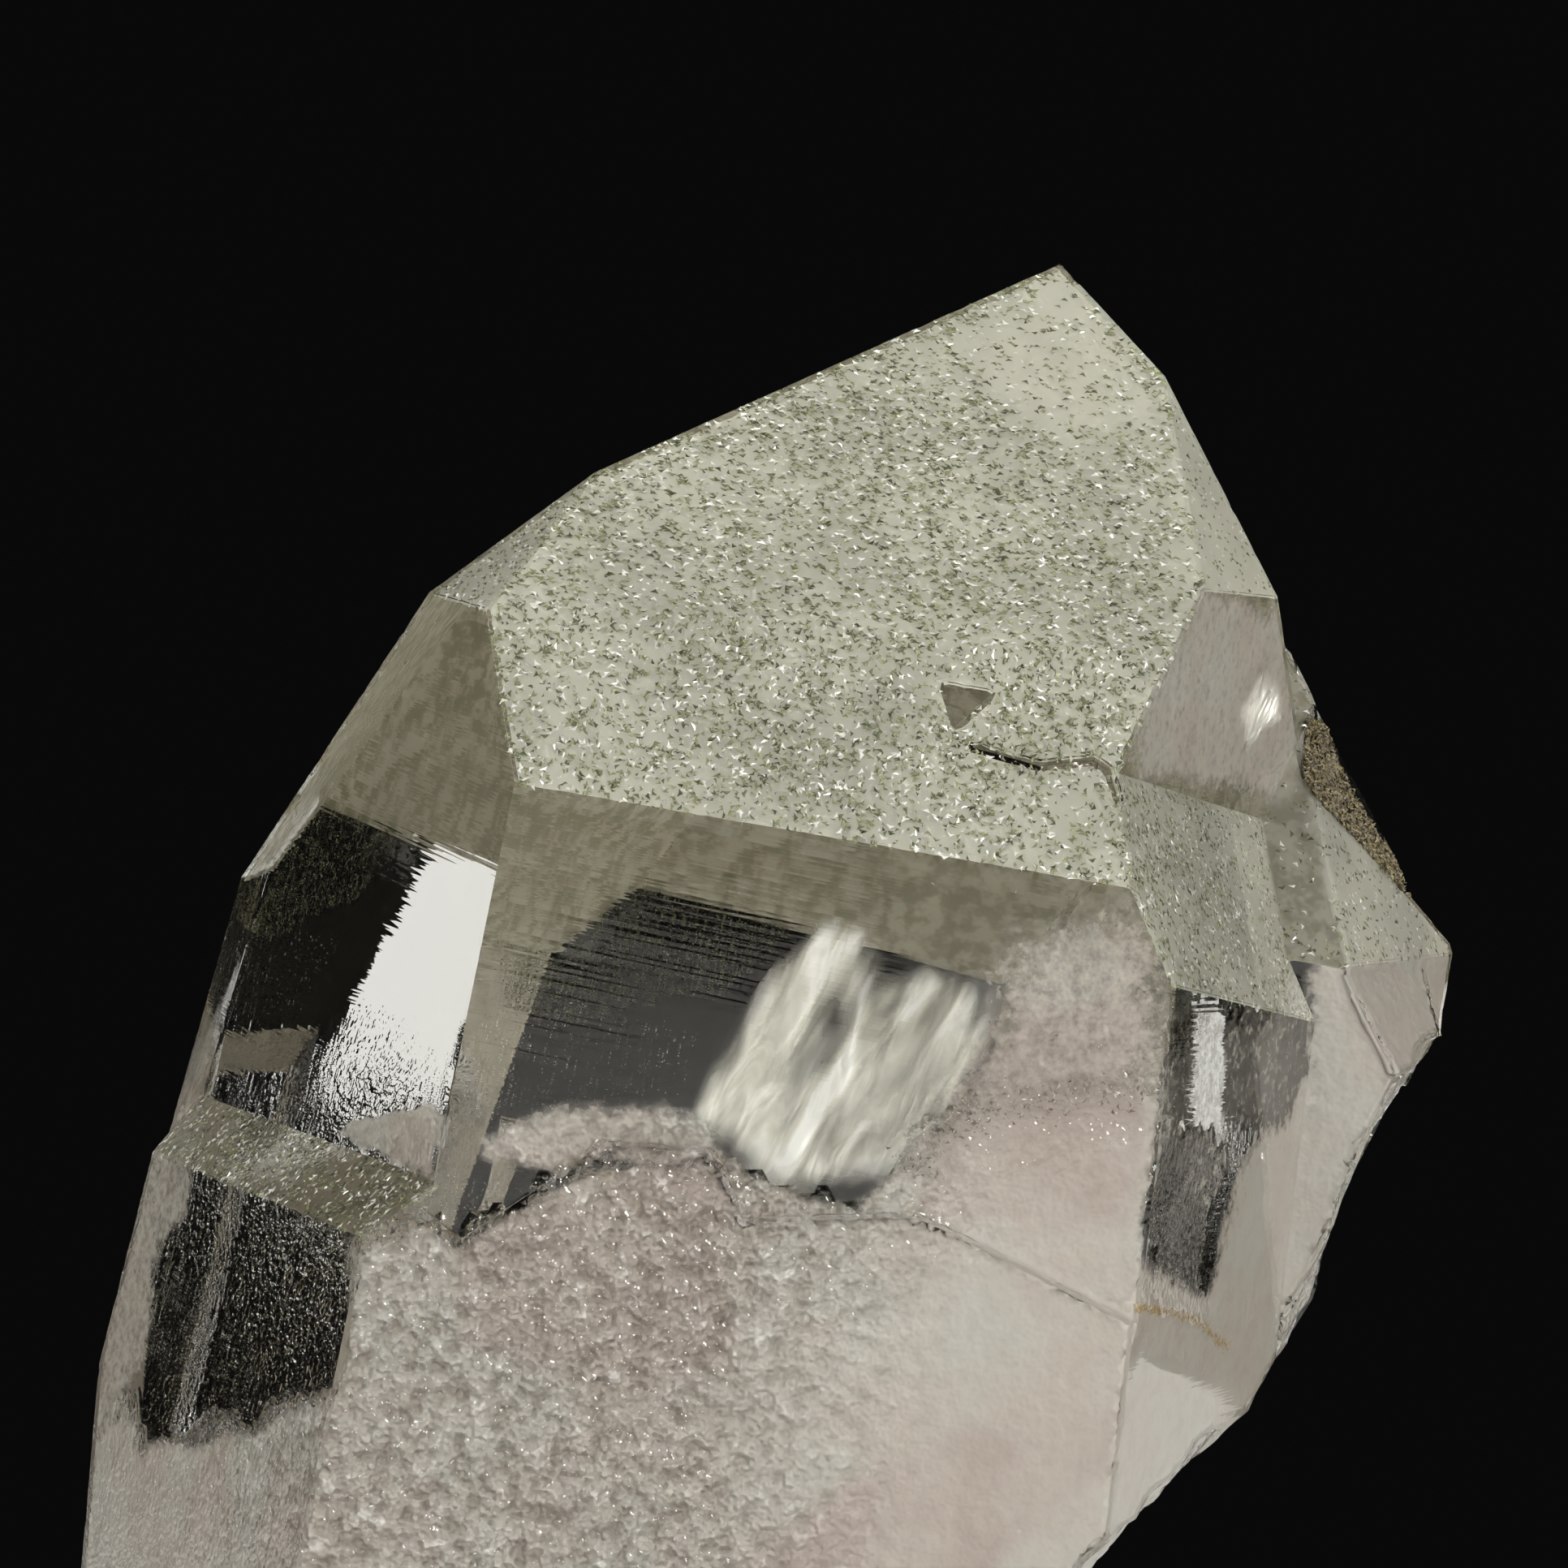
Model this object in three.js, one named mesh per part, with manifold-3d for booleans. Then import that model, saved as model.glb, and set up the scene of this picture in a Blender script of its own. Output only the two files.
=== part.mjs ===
// Chlorite quartz crystal: one intergrown piece of clear quartz, cut off flat at its foot.
// Millimetres, +Z up. The crystal leans to +X. Its faces are stated about its own long axis, before the lean.

import * as THREE from 'three';
import { ConvexGeometry } from 'three/addons/geometries/ConvexGeometry.js';
import { mergeVertices } from 'three/addons/utils/BufferGeometryUtils.js';
import Module from 'manifold-3d';

const wasm = await Module();
wasm.setup();

// Stance and size
const LEAN_DEG = 12.4;
const FOOT_Z = -28.5;
const DEEPEST_Z = -60;
const OUT_OF_REACH = 60;
const HALF_DEPTH = 18;

// A face: the direction it looks in, how far that direction rises above level, and its distance from the axis
const face = (azimuth, rise, reach) => ({ azimuth, rise, reach });

// Main crystal: the broad front point face, its neighbours, and the prism below them
const FRONT_POINT = face(-91, 38.5, 11.15);
const LEFT_POINT = face(-151, 38.5, 12.9);
const RIGHT_POINT = face(-29, 35, 15.0);
const BACK_LEFT_POINT = face(149, 37, 6.85);
const BACK_RIGHT_POINT = face(29, 38, 13.1);
const BACK_POINT = face(88, 38, 10.05);
const FRONT_SIDE = face(-89, 1, 13.7);
const LEFT_SIDE = face(-150, 0, 13.1);
const RIGHT_SIDE = face(-28, 5, 12.8);
const BACK_LEFT_SIDE = face(151, 8, 12.05);
const FOOT_BACK_LEFT_SIDE = face(151, -15, 18.1);
const LOWER_BACK_LEFT_SIDE = face(151, 0, 13.6);
const BACK_SIDE = face(90, 2, 15.9);
const BACK_RIGHT_SIDE = face(29, 0, 13.1);
const POINT_BUT_BACK_RIGHT = [FRONT_POINT, LEFT_POINT, RIGHT_POINT, BACK_LEFT_POINT, BACK_POINT];
const POINT = [...POINT_BUT_BACK_RIGHT, BACK_RIGHT_POINT];

// Ledge that grew lower on the right side
const LEDGE_POINT = face(-25, 33, 12.25);
const LEDGE_SIDE = face(-28.5, 6, 15.6);
const LEDGE_BACK_SIDE = face(29, 2, 14.4);

// Small crystal grown parallel to the main one, at the right
const SIDE_FRONT_POINT = face(-91, 38.5, 2.65);
const SIDE_RIGHT_POINT = face(-30, 36, 12.9);
const SIDE_TOP = face(70, 53, 6.1);
const SIDE_FRONT = face(-89, 1, 4.5);
const SIDE_RIGHT = face(-29, 6, 16.3);
const SIDE_BACK_RIGHT = face(29, 0, 19.6);
const SIDE_BACK = face(90, 0, 7);

// Thin blade behind the small crystal, and the shoulder above it: their edges are the upper right outline
const BLADE_RIGHT_POINT = face(-30, 36, 12.75);
const BLADE_POINT = face(29, 38, 15.05);
const BLADE_BACK_RIGHT = face(29, 0, 17.6);
const SHOULDER_SIDE = face(10, 30, 15.75);
const SHOULDER_POINT = face(29, 38, 14.9);
const SHOULDER_BACK = face(90, 2, 7.5);

// Proud growth low on the left and front
const PROUD_LEDGE = face(-155, 38.5, 3.3);
const PROUD_FRONT = face(-89, 1, 13.95);
const PROUD_LEFT = face(-150, 0, 14.5);
const PROUD_BACK_LEFT = face(151, 5, 11.55);
const PROUD_OUTLINE = [
  [-30, 2], [-7.0, 2], [-7.0, -11.0], [-6.0, -11.5], [-4.1, -9.5], [-3.1, -8.2],
  [-0.1, -7.8], [1.1, -9.4], [5.4, -8.3], [15.0, -10.9], [15.0, -45], [-30, -45],
];

// Proud growth on the left of the back, with a sloped upper edge
const REAR_LEDGE = face(98, 38, 6.1);
const REAR_SIDE = face(90, 2, 17.2);
const REAR_RIGHT = face(29, 0, 7.1);

// Marks on the broad front face, as x and z on it: a three-cornered pit and the crack that leads from it
const PIT_CORNERS = [[3.2, 5.05], [4.6, 5.1], [3.75, 4.0]];
const PIT_DEPTH = 0.14;
const CRACK_PATH = [[4.3, 3.65], [5.4, 3.6], [6.1, 3.55], [7.5, 4.0], [8.0, 3.75], [8.3, 3.2]];
const CRACK_WIDTH = 0.16;
const CRACK_DEPTH = 0.2;
const MARK_CLEARANCE = 0.4;

// Broken right flank: x and z of its outline in the leaned stance. It narrows forwards, like a wide cone
const BREAK_OUTLINE = [
  [19.75, -6.3], [19.2, -6.95], [18.9, -7.3], [18.1, -8.7], [16.3, -11.8], [15.75, -13.8], [15.5, -14.8],
  [14.9, -16.2], [13.6, -18.2], [12.9, -18.8], [12.0, -19.8], [9.2, -22.8], [7.9, -25.0],
  [6.9, -30.0], [6.4, -50.0],
];
const BREAK_DEPTH_STEPS = 30;
const BREAK_OUTLINE_Y = 1;
const BREAK_CONE_TIP = new THREE.Vector3(0, -117.5, 10.9);
const BREAK_SHELL_SIZE = 0.45;
const BREAK_RIPPLE_SIZE = 0.16;

const QUARTZ = new THREE.MeshStandardMaterial({ color: 0xc9c5b6, roughness: 0.12, metalness: 0 });

function outwardOf({ azimuth, rise }) {
  const turn = THREE.MathUtils.degToRad(azimuth);
  const lift = THREE.MathUtils.degToRad(rise);
  return new THREE.Vector3(
    Math.cos(turn) * Math.cos(lift),
    Math.sin(turn) * Math.cos(lift),
    Math.sin(lift),
  );
}

function planeOf(side) {
  return new THREE.Plane(outwardOf(side), -side.reach);
}

// The point where three planes meet, or null where two of them are parallel
function meetingPoint(a, b, c) {
  const bc = new THREE.Vector3().crossVectors(b.normal, c.normal);
  const volume = a.normal.dot(bc);
  if (Math.abs(volume) < 1e-6) {
    return null;
  }
  return bc
    .multiplyScalar(-a.constant)
    .addScaledVector(new THREE.Vector3().crossVectors(c.normal, a.normal), -b.constant)
    .addScaledVector(new THREE.Vector3().crossVectors(a.normal, b.normal), -c.constant)
    .divideScalar(volume);
}

// The corners of the body that a list of faces closes off. Every body narrows at the foot
function cornersWithin(faces) {
  const foot = new THREE.Plane(new THREE.Vector3(0, 0, -1), DEEPEST_Z);
  const planes = [...faces, FOOT_BACK_LEFT_SIDE].map(planeOf).concat(foot);
  const corners = [];
  for (let i = 0; i < planes.length; i += 1) {
    for (let j = i + 1; j < planes.length; j += 1) {
      for (let k = j + 1; k < planes.length; k += 1) {
        const point = meetingPoint(planes[i], planes[j], planes[k]);
        if (point && planes.every((plane) => plane.distanceToPoint(point) < 1e-6)) {
          corners.push(point);
        }
      }
    }
  }
  return corners;
}

function solidFrom(geometry) {
  geometry.deleteAttribute('normal');
  geometry.deleteAttribute('uv');
  const merged = mergeVertices(geometry, 1e-5);
  return new wasm.Manifold(new wasm.Mesh({
    numProp: 3,
    vertProperties: new Float32Array(merged.attributes.position.array),
    triVerts: new Uint32Array(merged.index.array),
  }));
}

function geometryFrom(solid) {
  const mesh = solid.getMesh();
  const geometry = new THREE.BufferGeometry();
  geometry.setAttribute('position', new THREE.Float32BufferAttribute(mesh.vertProperties, 3));
  geometry.setIndex(new THREE.BufferAttribute(mesh.triVerts, 1));
  return geometry;
}

function hullSolid(points) {
  return solidFrom(new ConvexGeometry(points));
}

function crystalBody(faces) {
  return hullSolid(cornersWithin(faces));
}

// An outline in x and z, drawn through the whole crystal from front to back
function standingOutline(points, depthSteps = 1) {
  const depth = 2 * HALF_DEPTH;
  const shape = new THREE.Shape(points.map(([x, z]) => new THREE.Vector2(x, z)));
  const geometry = new THREE.ExtrudeGeometry(shape, {
    depth,
    steps: depthSteps,
    bevelEnabled: false,
  });
  geometry.rotateX(Math.PI / 2);
  geometry.translate(0, depth / 2, 0);
  return geometry;
}

function mainCrystal() {
  return crystalBody([
    ...POINT, FRONT_SIDE, LEFT_SIDE, RIGHT_SIDE, BACK_LEFT_SIDE, LOWER_BACK_LEFT_SIDE, BACK_SIDE,
    BACK_RIGHT_SIDE,
  ]);
}

function rightLedge() {
  return crystalBody([
    ...POINT, LEDGE_POINT, LEDGE_SIDE, LEDGE_BACK_SIDE, FRONT_SIDE, LEFT_SIDE, BACK_LEFT_SIDE, BACK_SIDE,
  ]);
}

function sideCrystal() {
  return crystalBody([
    ...POINT_BUT_BACK_RIGHT, SIDE_FRONT_POINT, SIDE_RIGHT_POINT, SIDE_TOP, SIDE_FRONT, SIDE_RIGHT,
    SIDE_BACK_RIGHT, SIDE_BACK, LEFT_SIDE, BACK_LEFT_SIDE,
  ]);
}

function sideBlade() {
  return crystalBody([
    ...POINT_BUT_BACK_RIGHT, BLADE_RIGHT_POINT, BLADE_POINT, BLADE_BACK_RIGHT, SHOULDER_BACK,
    SIDE_FRONT_POINT, SIDE_FRONT, LEFT_SIDE, BACK_LEFT_SIDE,
  ]);
}

function sideShoulder() {
  return crystalBody([
    ...POINT_BUT_BACK_RIGHT, RIGHT_SIDE, SHOULDER_SIDE, SHOULDER_POINT, SHOULDER_BACK,
    SIDE_FRONT_POINT, SIDE_FRONT, LEFT_SIDE, BACK_LEFT_SIDE,
  ]);
}

function proudFrontGrowth() {
  const body = crystalBody([
    ...POINT, PROUD_LEDGE, PROUD_FRONT, PROUD_LEFT, PROUD_BACK_LEFT, BACK_SIDE, LEDGE_SIDE,
    BACK_RIGHT_SIDE,
  ]);
  return body.intersect(solidFrom(standingOutline(PROUD_OUTLINE)));
}

function proudRearGrowth() {
  return crystalBody([
    ...POINT, REAR_LEDGE, REAR_SIDE, REAR_RIGHT, LOWER_BACK_LEFT_SIDE, BACK_LEFT_SIDE, LEFT_SIDE,
    FRONT_SIDE, RIGHT_SIDE,
  ]);
}

// A point of the broad front face, from its x and z
function onFrontPoint([x, z]) {
  const { normal, constant } = planeOf(FRONT_POINT);
  const y = (-constant - normal.x * x - normal.z * z) / normal.y;
  return new THREE.Vector3(x, y, z);
}

// A shallow three-cornered pit that narrows to a flat floor
function pit() {
  const outward = outwardOf(FRONT_POINT);
  const rim = PIT_CORNERS.map(onFrontPoint);
  const middle = rim.reduce((sum, point) => sum.add(point), new THREE.Vector3()).divideScalar(rim.length);
  const floor = rim.map((point) => point.clone().lerp(middle, 0.15).addScaledVector(outward, -PIT_DEPTH));
  const raised = rim.map((point) => point.clone().addScaledVector(outward, MARK_CLEARANCE));
  return hullSolid([...raised, ...rim, ...floor]);
}

// One straight stretch of the crack, with sloped walls and pointed ends
function crackStretch(start, end) {
  const outward = outwardOf(FRONT_POINT);
  const from = onFrontPoint(start);
  const to = onFrontPoint(end);
  const along = to.clone().sub(from).normalize();
  const across = new THREE.Vector3().crossVectors(outward, along);
  const half = CRACK_WIDTH / 2;
  const points = [];
  for (const [place, way] of [[from, -1], [to, 1]]) {
    const tip = place.clone().addScaledVector(along, way * half);
    const low = place.clone().addScaledVector(outward, -CRACK_DEPTH);
    const left = place.clone().addScaledVector(across, half);
    const right = place.clone().addScaledVector(across, -half);
    points.push(low);
    for (const edge of [tip, left, right]) {
      points.push(edge, edge.clone().addScaledVector(outward, MARK_CLEARANCE));
    }
  }
  return hullSolid(points);
}

function crack() {
  return CRACK_PATH.slice(1)
    .map((point, index) => crackStretch(CRACK_PATH[index], point))
    .reduce((whole, stretch) => whole.add(stretch));
}

// What broke away on the right: everything beyond its outline, with shell-like hollows on the broken surface
function brokenAway() {
  const [highestX, highestZ] = BREAK_OUTLINE[0];
  const [, lowestZ] = BREAK_OUTLINE[BREAK_OUTLINE.length - 1];
  const beyond = [[OUT_OF_REACH, lowestZ], [OUT_OF_REACH, highestZ], [highestX + 2, highestZ]];
  const geometry = standingOutline([...BREAK_OUTLINE, ...beyond], BREAK_DEPTH_STEPS);
  const place = geometry.attributes.position;
  const point = new THREE.Vector3();
  for (let i = 0; i < place.count; i += 1) {
    point.fromBufferAttribute(place, i);
    const { y, z } = point;
    const widening = (y - BREAK_CONE_TIP.y) / (BREAK_OUTLINE_Y - BREAK_CONE_TIP.y);
    const shell = BREAK_SHELL_SIZE * (0.5 - Math.abs(Math.sin(y * 0.35 + Math.sin(z * 0.4) * 1.3)));
    const ripple = BREAK_RIPPLE_SIZE * Math.sin(y * 1.7 + z * 1.1);
    point.setY(BREAK_OUTLINE_Y).sub(BREAK_CONE_TIP).multiplyScalar(widening).add(BREAK_CONE_TIP);
    place.setXYZ(i, point.x + shell - ripple, y, point.z);
  }
  return solidFrom(geometry);
}

// Everything below the level foot
function belowFoot() {
  const height = OUT_OF_REACH;
  const slab = new THREE.BoxGeometry(2 * OUT_OF_REACH, 2 * OUT_OF_REACH, height);
  slab.translate(0, 0, FOOT_Z - height / 2);
  return solidFrom(slab);
}

function quartzCrystal() {
  const beside = [rightLedge(), sideCrystal(), sideBlade(), sideShoulder()];
  const grown = [...beside, proudFrontGrowth(), proudRearGrowth()]
    .reduce((whole, body) => whole.add(body), mainCrystal());
  const marked = grown.subtract(pit()).subtract(crack());
  const leaned = geometryFrom(marked);
  leaned.rotateY(THREE.MathUtils.degToRad(LEAN_DEG));
  const stood = solidFrom(leaned).subtract(brokenAway()).subtract(belowFoot());
  const geometry = geometryFrom(stood);
  geometry.computeBoundingBox();
  const { min, max } = geometry.boundingBox;
  geometry.translate(-(min.x + max.x) / 2, -(min.y + max.y) / 2, -min.z);
  geometry.computeVertexNormals();
  return geometry;
}

const crystal = new THREE.Mesh(quartzCrystal(), QUARTZ);
crystal.name = 'quartz_crystal';

const model = new THREE.Group();
model.add(crystal);

export default model;
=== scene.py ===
import math

import bpy
import numpy as np
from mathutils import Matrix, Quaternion, Vector, noise
from mathutils.bvhtree import BVHTree
from mathutils.geometry import delaunay_2d_cdt
from mathutils.kdtree import KDTree


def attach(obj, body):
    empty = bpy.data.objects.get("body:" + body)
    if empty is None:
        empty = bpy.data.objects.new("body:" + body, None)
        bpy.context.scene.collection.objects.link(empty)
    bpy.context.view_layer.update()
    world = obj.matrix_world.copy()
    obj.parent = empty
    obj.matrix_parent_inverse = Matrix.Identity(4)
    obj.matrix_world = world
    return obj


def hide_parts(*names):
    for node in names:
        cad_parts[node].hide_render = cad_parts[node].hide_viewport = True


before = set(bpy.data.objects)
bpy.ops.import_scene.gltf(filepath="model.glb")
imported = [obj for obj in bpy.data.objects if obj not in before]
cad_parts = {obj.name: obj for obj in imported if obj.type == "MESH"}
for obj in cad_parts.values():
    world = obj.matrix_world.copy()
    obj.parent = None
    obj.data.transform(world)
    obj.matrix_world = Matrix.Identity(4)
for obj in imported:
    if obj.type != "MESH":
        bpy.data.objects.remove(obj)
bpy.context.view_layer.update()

# Chlorite quartz crystal. Metres, in the frame of the CAD model.
# Lengths below are in millimetres times MM. Directions and places named "crystal" are about the crystal's
# own long axis, which leans to +X and goes through AXIS_PLACE.
MM = 0.001
AXIS_PLACE = np.array([0.325, -1.803, 28.5]) * MM
LEAN = math.radians(12.4)
SEED = 7

# The photograph: where it was taken from, and its frame
PHOTO_SIDE = 1932
PHOTO_FOCAL = 5000
CAMERA_PLACE = AXIS_PLACE + np.array([0, -117.5, 10.9]) * MM
CAMERA_DIP = math.radians(5)
SENSOR_WIDTH = 36

CAD_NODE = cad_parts["quartz_crystal"]
random_numbers = np.random.default_rng(SEED)

# Turns crystal directions to those of the frame
LEANING = np.array([
    [math.cos(LEAN), 0, math.sin(LEAN)],
    [0, 1, 0],
    [-math.sin(LEAN), 0, math.cos(LEAN)],
])
CAMERA_TURN = np.array([
    [1, 0, 0],
    [0, math.cos(CAMERA_DIP), math.sin(CAMERA_DIP)],
    [0, -math.sin(CAMERA_DIP), math.cos(CAMERA_DIP)],
])


def to_crystal(points):
    """Frame points, in metres, as crystal points in millimetres."""
    return (np.asarray(points) - AXIS_PLACE) @ LEANING / MM


def from_crystal(points):
    return np.asarray(points) * MM @ LEANING.T + AXIS_PLACE


def to_pixels(points):
    """Where frame points fall in the photograph."""
    seen = (np.asarray(points) - CAMERA_PLACE) @ CAMERA_TURN
    scale = PHOTO_FOCAL / seen[:, 1]
    centre = PHOTO_SIDE / 2
    return np.stack([centre + scale * seen[:, 0], centre - scale * seen[:, 2]], 1)


def sight_line(pixel):
    """The direction from the camera through a pixel of the photograph."""
    centre = PHOTO_SIDE / 2
    seen = np.array([(pixel[0] - centre) / PHOTO_FOCAL, 1, (centre - pixel[1]) / PHOTO_FOCAL])
    line = CAMERA_TURN @ seen
    return line / np.linalg.norm(line)


PHOTO_MIDDLE = sight_line((PHOTO_SIDE / 2, PHOTO_SIDE / 2))
SIDE_ON_SLACK = 0.02
FRONT_SLACK = 0.05


def looks_at_camera(normals, slack=SIDE_ON_SLACK):
    """Which directions look towards the camera. The slack takes in those a little past side on."""
    return normals @ PHOTO_MIDDLE < slack


def direction(azimuth, rise):
    """A unit direction in the frame, from a crystal azimuth and rise in degrees."""
    turn, lift = math.radians(azimuth), math.radians(rise)
    return LEANING @ (math.cos(turn) * math.cos(lift), math.sin(turn) * math.cos(lift), math.sin(lift))


def within(starts, ends, points):
    """Which points lie inside closed outlines, by counting how often a line from each crosses them."""
    inside = np.zeros(len(points), bool)
    for start, end in zip(starts, ends):
        if start[1] == end[1]:
            continue
        beside = (points[:, 1] < start[1]) != (points[:, 1] < end[1])
        crossing = start[0] + (points[:, 1] - start[1]) / (end[1] - start[1]) * (end[0] - start[0])
        inside ^= beside & (points[:, 0] < crossing)
    return inside


def within_outline(outline, points):
    outline = np.asarray(outline, float)
    return within(outline, np.roll(outline, -1, axis=0), points)


def distance_to_segments(points, starts, ends):
    """The distance from each 2D point to the nearest of some straight stretches."""
    nearest = np.full(len(points), np.inf)
    for start, end in zip(starts, ends):
        along = end - start
        share = np.clip((points - start) @ along / (along @ along), 0, 1)
        gap = np.linalg.norm(points - start - share[:, None] * along, axis=1)
        nearest = np.minimum(nearest, gap)
    return nearest


def smooth_step(low, high, value):
    share = np.clip((value - low) / (high - low), 0, 1)
    return share * share * (3 - 2 * share)


def noise_at(points, size, seed=0):
    """Smooth noise from -1 to 1 at crystal points in millimetres, with features of about the given size."""
    shift = 17.3 * seed
    return np.array([noise.noise((x / size + shift, y / size, z / size - shift)) for x, y, z in points])


class FlatFaces:
    """The CAD solid as flat faces: connected triangles that lie in one plane."""

    SAME_PLANE = 0.99999
    FACING_SLACK = math.radians(3)
    ALIKE_SLACK = math.radians(1.5)
    ALIKE_OFFSET = 0.1

    def __init__(self, node):
        mesh = node.data
        corners = np.array([v.co for v in mesh.vertices])
        mesh.calc_loop_triangles()
        triangles = np.array([t.vertices for t in mesh.loop_triangles])
        _, first, same = np.unique(np.round(corners / (0.001 * MM)).astype(int), axis=0,
                                   return_index=True, return_inverse=True)
        self.corners = corners[first]
        triangles = same.reshape(-1)[triangles]
        unlike = ((triangles[:, 0] != triangles[:, 1]) & (triangles[:, 1] != triangles[:, 2])
                  & (triangles[:, 2] != triangles[:, 0]))
        self.triangles = triangles[unlike]
        a, b, c = (self.corners[self.triangles[:, i]] for i in range(3))
        across = np.cross(b - a, c - a)
        self.areas = np.linalg.norm(across, axis=1) / 2
        self.normals = across / np.maximum(2 * self.areas[:, None], 1e-20)
        self.groups = self.grouped()
        self.tree = BVHTree.FromPolygons(self.corners.tolist(), self.triangles.tolist())

    def edge_owners(self):
        owners = {}
        for index, triangle in enumerate(self.triangles):
            for start, end in zip(triangle, np.roll(triangle, -1)):
                owners.setdefault((min(start, end), max(start, end)), []).append(index)
        return owners

    def grouped(self):
        parent = list(range(len(self.triangles)))

        def top(index):
            while parent[index] != index:
                parent[index] = parent[parent[index]]
                index = parent[index]
            return index

        self.owners = self.edge_owners()
        for pair in self.owners.values():
            if len(pair) == 2 and self.normals[pair[0]] @ self.normals[pair[1]] > self.SAME_PLANE:
                parent[top(pair[0])] = top(pair[1])
        return np.array([top(i) for i in range(len(parent))])

    def border(self, group):
        """The edges round a flat face, each in the direction that its own triangle runs."""
        edges = []
        for index in np.flatnonzero(self.groups == group):
            triangle = self.triangles[index]
            for start, end in zip(triangle, np.roll(triangle, -1)):
                pair = self.owners[(min(start, end), max(start, end))]
                if any(self.groups[other] != group for other in pair):
                    edges.append((start, end))
        return edges

    def normal(self, group):
        members = self.groups == group
        total = (self.normals[members] * self.areas[members, None]).sum(0)
        return total / np.linalg.norm(total)

    def area(self, group):
        return self.areas[self.groups == group].sum()

    def facing(self, azimuth, rise):
        """The largest flat face that looks close to a crystal direction."""
        wanted = direction(azimuth, rise)
        near = self.normals @ wanted > math.cos(self.FACING_SLACK)
        return max(np.unique(self.groups[near]), key=self.area)

    def alike(self, group):
        """The flat faces that lie in about the same plane as one: marks cut it in pieces."""
        normal = self.normal(group)
        place = self.corners[self.triangles[self.groups == group][0, 0]]
        offsets = np.abs((self.corners[self.triangles].mean(1) - place) @ normal)
        near = (self.normals @ normal > math.cos(self.ALIKE_SLACK)) & (offsets < self.ALIKE_OFFSET * MM)
        return np.unique(self.groups[near])

    def seen_at(self, pixel):
        """The flat face that shows at a pixel of the photograph."""
        _, _, index, _ = self.tree.ray_cast(Vector(CAMERA_PLACE), Vector(sight_line(pixel)))
        return self.groups[index]

    def sample(self, group, count):
        """Points spread evenly over a flat face."""
        members = np.flatnonzero(self.groups == group)
        chances = self.areas[members] / self.areas[members].sum()
        chosen = members[random_numbers.choice(len(members), count, p=chances)]
        u, v = random_numbers.random((2, count))
        over = u + v > 1
        u, v = np.where(over, 1 - u, u), np.where(over, 1 - v, v)
        a, b, c = (self.corners[self.triangles[chosen, i]] for i in range(3))
        return a + u[:, None] * (b - a) + v[:, None] * (c - a)


def plane_axes(normal):
    """Two directions in the plane, level and up it, right-handed with its normal."""
    level = np.cross((0, 0, 1), normal)
    if np.linalg.norm(level) < 1e-6:
        level = np.array([1.0, 0, 0])
    level /= np.linalg.norm(level)
    return level, np.cross(normal, level)


FRONT_SPACING = 0.24
BACK_SPACING = 0.34
FOOT_SPACING = 1.2


def spacing_of(normal):
    """How close together a face's points are, in millimetres: closest where the photograph looks."""
    if normal[2] < -0.99:
        return FOOT_SPACING
    if looks_at_camera(normal, FRONT_SLACK):
        return FRONT_SPACING
    return BACK_SPACING


def grid_within(flat, segments, spacing):
    """Even points inside an outline with holes, in rows that are half a step apart."""
    low, high = flat.min(0), flat.max(0)
    rows = []
    for i, height in enumerate(np.arange(low[1] + spacing / 2, high[1], spacing * 0.866)):
        columns = np.arange(low[0] + spacing * (0.5 + 0.5 * (i % 2)), high[0], spacing)
        rows.append(np.stack([columns, np.full(len(columns), height)], 1))
    grid = np.vstack([np.zeros((0, 2)), *rows])
    starts = flat[[a for a, _ in segments]]
    ends = flat[[b for _, b in segments]]
    grid = grid[within(starts, ends, grid)]
    return grid[distance_to_segments(grid, starts, ends) > spacing * 0.45]


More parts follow.
